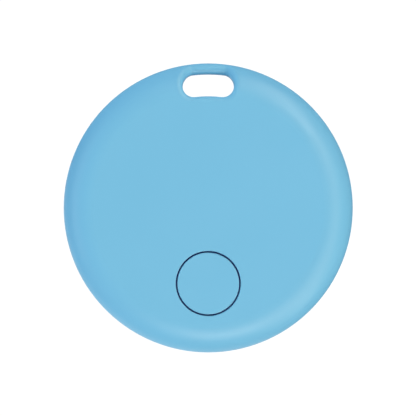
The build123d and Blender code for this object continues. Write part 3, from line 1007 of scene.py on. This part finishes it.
# %% Transistor legs
body_low, body_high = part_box("driver_transistor")
body_middle = (body_low + body_high) / 2
LEG_WIDTH = 0.4 * MM
LEG_START = 0.1 * MM
LEG_THICKNESS = 0.11 * MM
LEG_ROUND = 0.02 * MM
LEG_SPREAD = 0.95 * MM
leg_drop = (body_high.y - body_low.y) / 2
leg = primitive(
    "leg",
    bpy.ops.mesh.primitive_plane_add,
    size=1,
    rotation=(pi / 2, 0, 0),
    scale=(LEG_WIDTH, LEG_START, 1),
)
with editing(leg, lambda middle, step: middle.z > LEG_START / 4, kind="EDGE"):
    extrude(z=0.16 * MM)
    extrude(y=leg_drop - 0.12 * MM, z=0.08 * MM)
    extrude(y=0.05 * MM, z=0.05 * MM)
    extrude(z=0.2 * MM)
thickness = leg.modifiers.new("thickness", "SOLIDIFY")
thickness.thickness = LEG_THICKNESS
thickness.offset = 0
rounding = leg.modifiers.new("rounding", "BEVEL")
rounding.width = LEG_ROUND
rounding.segments = 2
leg_reach = (body_high.z - body_low.z) / 2
leg_places = [
    (body_middle.x - LEG_SPREAD, body_middle.y, body_middle.z - leg_reach, pi),
    (body_middle.x + LEG_SPREAD, body_middle.y, body_middle.z - leg_reach, pi),
    (body_middle.x, body_middle.y, body_middle.z + leg_reach, 0),
]
close_piece(copy_to(leg, "transistor_legs", leg_places), tin)

# %% [markdown]
# ## Lids of the crystals
#
# A crystal sits in a small can whose lid is welded on along a raised seam. The lid is a thin box
# on the can's top: its upright edges are rounded, and its top is inset and pressed in, which
# leaves the seam standing.


# %% Crystal lids
LID_MARGIN = 0.1 * MM
LID_HEIGHT = 0.08 * MM
LID_ROUND = 0.15 * MM


def crystal_lid(name):
    """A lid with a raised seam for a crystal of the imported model."""
    low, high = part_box(name)
    middle = (low + high) / 2
    lid = primitive(
        name + "_lid",
        bpy.ops.mesh.primitive_cube_add,
        size=1,
        location=(middle.x, low.y, middle.z),
        scale=(high.x - low.x - 2 * LID_MARGIN, LID_HEIGHT, high.z - low.z - 2 * LID_MARGIN),
    )
    with editing(lid, lambda middle, step: abs(step.y) > LID_HEIGHT / 2, kind="EDGE"):
        bpy.ops.mesh.bevel(offset=LID_ROUND, segments=4)
    with editing(lid, lambda middle, normal: normal.y < -0.9):
        bpy.ops.mesh.inset(thickness=0.1 * MM)
        bpy.ops.mesh.inset(thickness=0.04 * MM, depth=-0.03 * MM)
    close_piece(lid, steel)


crystal_lid("crystal_main")
crystal_lid("crystal_clock")

# %% [markdown]
# ## Terminals of the coil
#
# The booster coil for the sounder has a tinned foot at each side that wraps up its wall. A foot is
# a box lying against the wall whose upper edge is pulled in towards it.

# %% Coil terminals
coil_low, coil_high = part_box("coil_inductor")
coil_middle = (coil_low + coil_high) / 2
FOOT = Vector((0.14, 0.5, 1.7)) * MM
foot = primitive("foot", bpy.ops.mesh.primitive_cube_add, size=1, scale=FOOT)
with editing(foot, lambda middle, normal: normal.y < -0.9):
    bpy.ops.transform.resize(value=(0.6, 1, 0.7), center_override=(-FOOT.x / 2, 0, 0))
    bpy.ops.mesh.inset(thickness=0.02 * MM)
with editing(foot, kind="EDGE"):
    bpy.ops.mesh.bevel(offset=0.015 * MM, segments=2)
coil_reach = (coil_high.x - coil_low.x + FOOT.x) / 2
coil_places = [
    (coil_middle.x + coil_reach, board_front - FOOT.y / 2, coil_middle.z, 0),
    (coil_middle.x - coil_reach, board_front - FOOT.y / 2, coil_middle.z, pi),
]
close_piece(copy_to(foot, "coil_terminals", coil_places), tin)

# %% [markdown]
# ## Washers and heat-stake pegs
#
# Two kinds of small turned part hold things down. A washer under each screw spreads its load on
# the board. Four plastic pegs of the switch are melted over its steel plate, which leaves a low
# round head on each corner. Both are made by the turning function and copied.

# %% Washers
HEAD_RADIUS = 1.1 * MM
WASHER_RIM = 0.3 * MM
WASHER_HEIGHT = 0.08 * MM
screw_boxes = loose_boxes("frame_screws")
washer = turned(
    "washer", HEAD_RADIUS / 2, HEAD_RADIUS + WASHER_RIM, 0, WASHER_HEIGHT, 0.025 * MM
)
washer_places = [
    ((low.x + high.x) / 2, board_front - WASHER_HEIGHT, (low.z + high.z) / 2, 0)
    for low, high in screw_boxes
]
close_piece(copy_to(washer, "screw_washers", washer_places), tin)

# %% Switch pegs
PEG_INSET = 0.55 * MM
PEG_LIFT = 0.06 * MM
plate_low, plate_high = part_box("switch_frame")
plate_middle = (plate_low + plate_high) / 2
peg = turned("peg", 0, 0.28 * MM, 0, 0.07 * MM, 0.034 * MM, steps=24)
peg_corner = (plate_high.x - plate_low.x) / 2 - PEG_INSET
peg_places = [
    (
        plate_middle.x + right * peg_corner,
        plate_low.y - PEG_LIFT,
        plate_middle.z + up * peg_corner,
        0,
    )
    for right in (-1, 1)
    for up in (-1, 1)
]
close_piece(copy_to(peg, "switch_pegs", peg_places), black_plastic)

# %% [markdown]
# ## The sounder's electrode and pin collars
#
# The ceramic disc only moves when a voltage lies across it, so its free face is coated with fired
# silver that stops short of the edge. It is a very thin turned disc. Each spring pin stands in a
# plastic collar on the board, and that is a turned ring.

# %% Electrode
SILVER_MARGIN = 0.5 * MM
SILVER_HEIGHT = 0.02 * MM
ceramic_low, ceramic_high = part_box("piezo_ceramic")
ceramic_middle = (ceramic_low + ceramic_high) / 2
electrode = turned(
    "piezo_electrode",
    0,
    (ceramic_high.x - ceramic_low.x) / 2 - SILVER_MARGIN,
    ceramic_high.y,
    ceramic_high.y + SILVER_HEIGHT,
    0.006 * MM,
    x=ceramic_middle.x,
    z=ceramic_middle.z,
    steps=96,
)
close_piece(electrode, silver)

# %% Pin collars
COLLAR_HEIGHT = 0.3 * MM
pin_boxes = loose_boxes("piezo_contacts")
collar = turned("collar", 0.6 * MM, 0.95 * MM, 0, COLLAR_HEIGHT, 0.06 * MM, steps=48)
collar_places = [
    ((low.x + high.x) / 2, board_front - COLLAR_HEIGHT, (low.z + high.z) / 2, 0)
    for low, high in pin_boxes
]
close_piece(copy_to(collar, "pin_collars", collar_places), black_plastic)

# %% [markdown]
# ## What shows in the open battery bay
#
# With the door off and the cell out, one looks at the back of the board. Factory programming pads
# lie there in a row, small plated holes carry the signals through, and copper tracks join them
# under the lacquer. The negative contact has a pressed ring round each of its two dimples, and low
# ribs inside the bay centre the cell.

# %% Plated holes
VIA_BORE = 0.13 * MM
VIA_RADIUS = 0.3 * MM
COPPER = 0.03 * MM
PAD_COUNT = 6
PAD_STEP = 1.6 * MM
VIA_CROWDING = 0.8
FAN_COUNT = 4
FAN_START = 3.2 * MM
FAN_STEP = 1.0 * MM
FAN_DROP = 1.1 * MM
pad_row_z = bay_middle.z + 6.2 * MM
via_row_z = bay_middle.z + 3.0 * MM
pad_row = [(index - (PAD_COUNT - 1) / 2) * PAD_STEP for index in range(PAD_COUNT)]
via = turned("via", VIA_BORE, VIA_RADIUS, 0, COPPER, 0.008 * MM, steps=24)
rear_vias = [(x * VIA_CROWDING, board_rear, via_row_z, 0) for x in pad_row]
fan = [(FAN_START + step * FAN_STEP, FAN_START + step * FAN_DROP) for step in range(FAN_COUNT)]
rear_vias += [
    (side * right, board_rear, bay_middle.z - down, 0) for side in (-1, 1) for right, down in fan
]
close_piece(copy_to(via, "plated_holes", rear_vias), gold)

# %% Programming pads
pad = turned("pad", 0, 0.5 * MM, 0, COPPER, 0.01 * MM, steps=40)
pad_places = [(x, board_rear, pad_row_z, 0) for x in pad_row]
close_piece(copy_to(pad, "programming_pads", pad_places), gold)

# %% Tracks under the lacquer
TRACK_WIDTH = 0.22 * MM


def track(name, x, z, steps):
    """A copper track from (x, z) along some steps, as a strip with a rounded top."""
    strip = primitive(
        name,
        bpy.ops.mesh.primitive_plane_add,
        size=TRACK_WIDTH,
        location=(x, board_rear + COPPER / 2, z),
        rotation=(pi / 2, 0, 0),
    )
    with editing(strip, lambda middle, step: middle.z < z - TRACK_WIDTH / 4, kind="EDGE"):
        for step_x, step_z in steps:
            extrude(x=step_x, z=step_z)
    body = strip.modifiers.new("body", "SOLIDIFY")
    body.thickness = COPPER * 0.7
    body.offset = 0
    eased = strip.modifiers.new("eased", "BEVEL")
    eased.width = 0.006 * MM
    eased.segments = 2
    return strip


run = pad_row_z - via_row_z
for index, x in enumerate(pad_row):
    slant = (VIA_CROWDING - 1) * x
    bends = [(0, -run * 0.3), (slant, -run * 0.35), (0, -run * 0.35 + 0.5 * MM)]
    strip = track(f"track_{index}", x, pad_row_z - 0.45 * MM, bends)
    close_piece(strip, lacquered)

# %% Rings round the dimples
DIMPLE_SPREAD = 2.5 * MM
CONTACT_FACE = 0.11 * MM
dimple_ring = turned("dimple_ring", 0.92 * MM, 1.25 * MM, 0, 0.05 * MM, 0.02 * MM, steps=48)
dimple_places = [
    (side * DIMPLE_SPREAD, board_rear + CONTACT_FACE, bay_middle.z, 0) for side in (-1, 1)
]
close_piece(copy_to(dimple_ring, "dimple_rings", dimple_places), steel)

# %% Centring ribs
RIB_RADIUS = 0.15 * MM
RIB_COUNT = 12
RIB_LIFT = 0.9 * MM
RIB_END_GAP = 0.1 * MM
TUB_GAP = 0.2 * MM
tub_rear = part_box("inner_frame")[1].y
tub_radius = (bay_high.x - bay_low.x) / 2 + TUB_GAP
rib_front = board_rear + RIB_LIFT
rib_rear = tub_rear - RIB_END_GAP
rib = turned("rib", 0, RIB_RADIUS, rib_front, rib_rear, 0.05 * MM, steps=16)
rib_angles = [(index + 0.5) * 2 * pi / RIB_COUNT for index in range(RIB_COUNT)]
rib_places = [
    (tub_radius * cos(angle), 0, bay_middle.z + tub_radius * sin(angle), 0)
    for angle in rib_angles
]
close_piece(copy_to(rib, "centring_ribs", rib_places), frame_plastic)

# %% [markdown]
# ## Stitching holes along the board's rim
#
# Round the front of the board a row of plated holes ties the ground copper of both faces together.
# The row runs along the rim and leaves out what is there already: the notch for the lanyard slot
# at the top, the antenna at the bottom and the four screws. A rule says which places are free.

# %% Stitching holes
STITCH_RADIUS = 14.7 * MM
STITCH_COUNT = 60
NOTCH_SINE = 0.86
ANTENNA_SINE = -0.80
SCREW_MARGIN = 1.0 * MM


def is_free(angle):
    """Whether a hole at this angle on the rim is clear of the notch, antenna and screws."""
    place = Vector((STITCH_RADIUS * cos(angle), 0, STITCH_RADIUS * sin(angle)))
    if sin(angle) > NOTCH_SINE or sin(angle) < ANTENNA_SINE:
        return False
    return all(
        (place - Vector((x, 0, z))).length > HEAD_RADIUS + SCREW_MARGIN
        for x, _, z, _ in washer_places
    )


stitch = turned("stitch", VIA_BORE, VIA_RADIUS, 0, COPPER, 0.008 * MM, steps=20)
stitch_angles = [2 * pi * index / STITCH_COUNT for index in range(STITCH_COUNT)]
stitch_places = [
    (STITCH_RADIUS * cos(angle), board_front - COPPER, STITCH_RADIUS * sin(angle), 0)
    for angle in stitch_angles
    if is_free(angle)
]
close_piece(copy_to(stitch, "stitching_holes", stitch_places), gold)
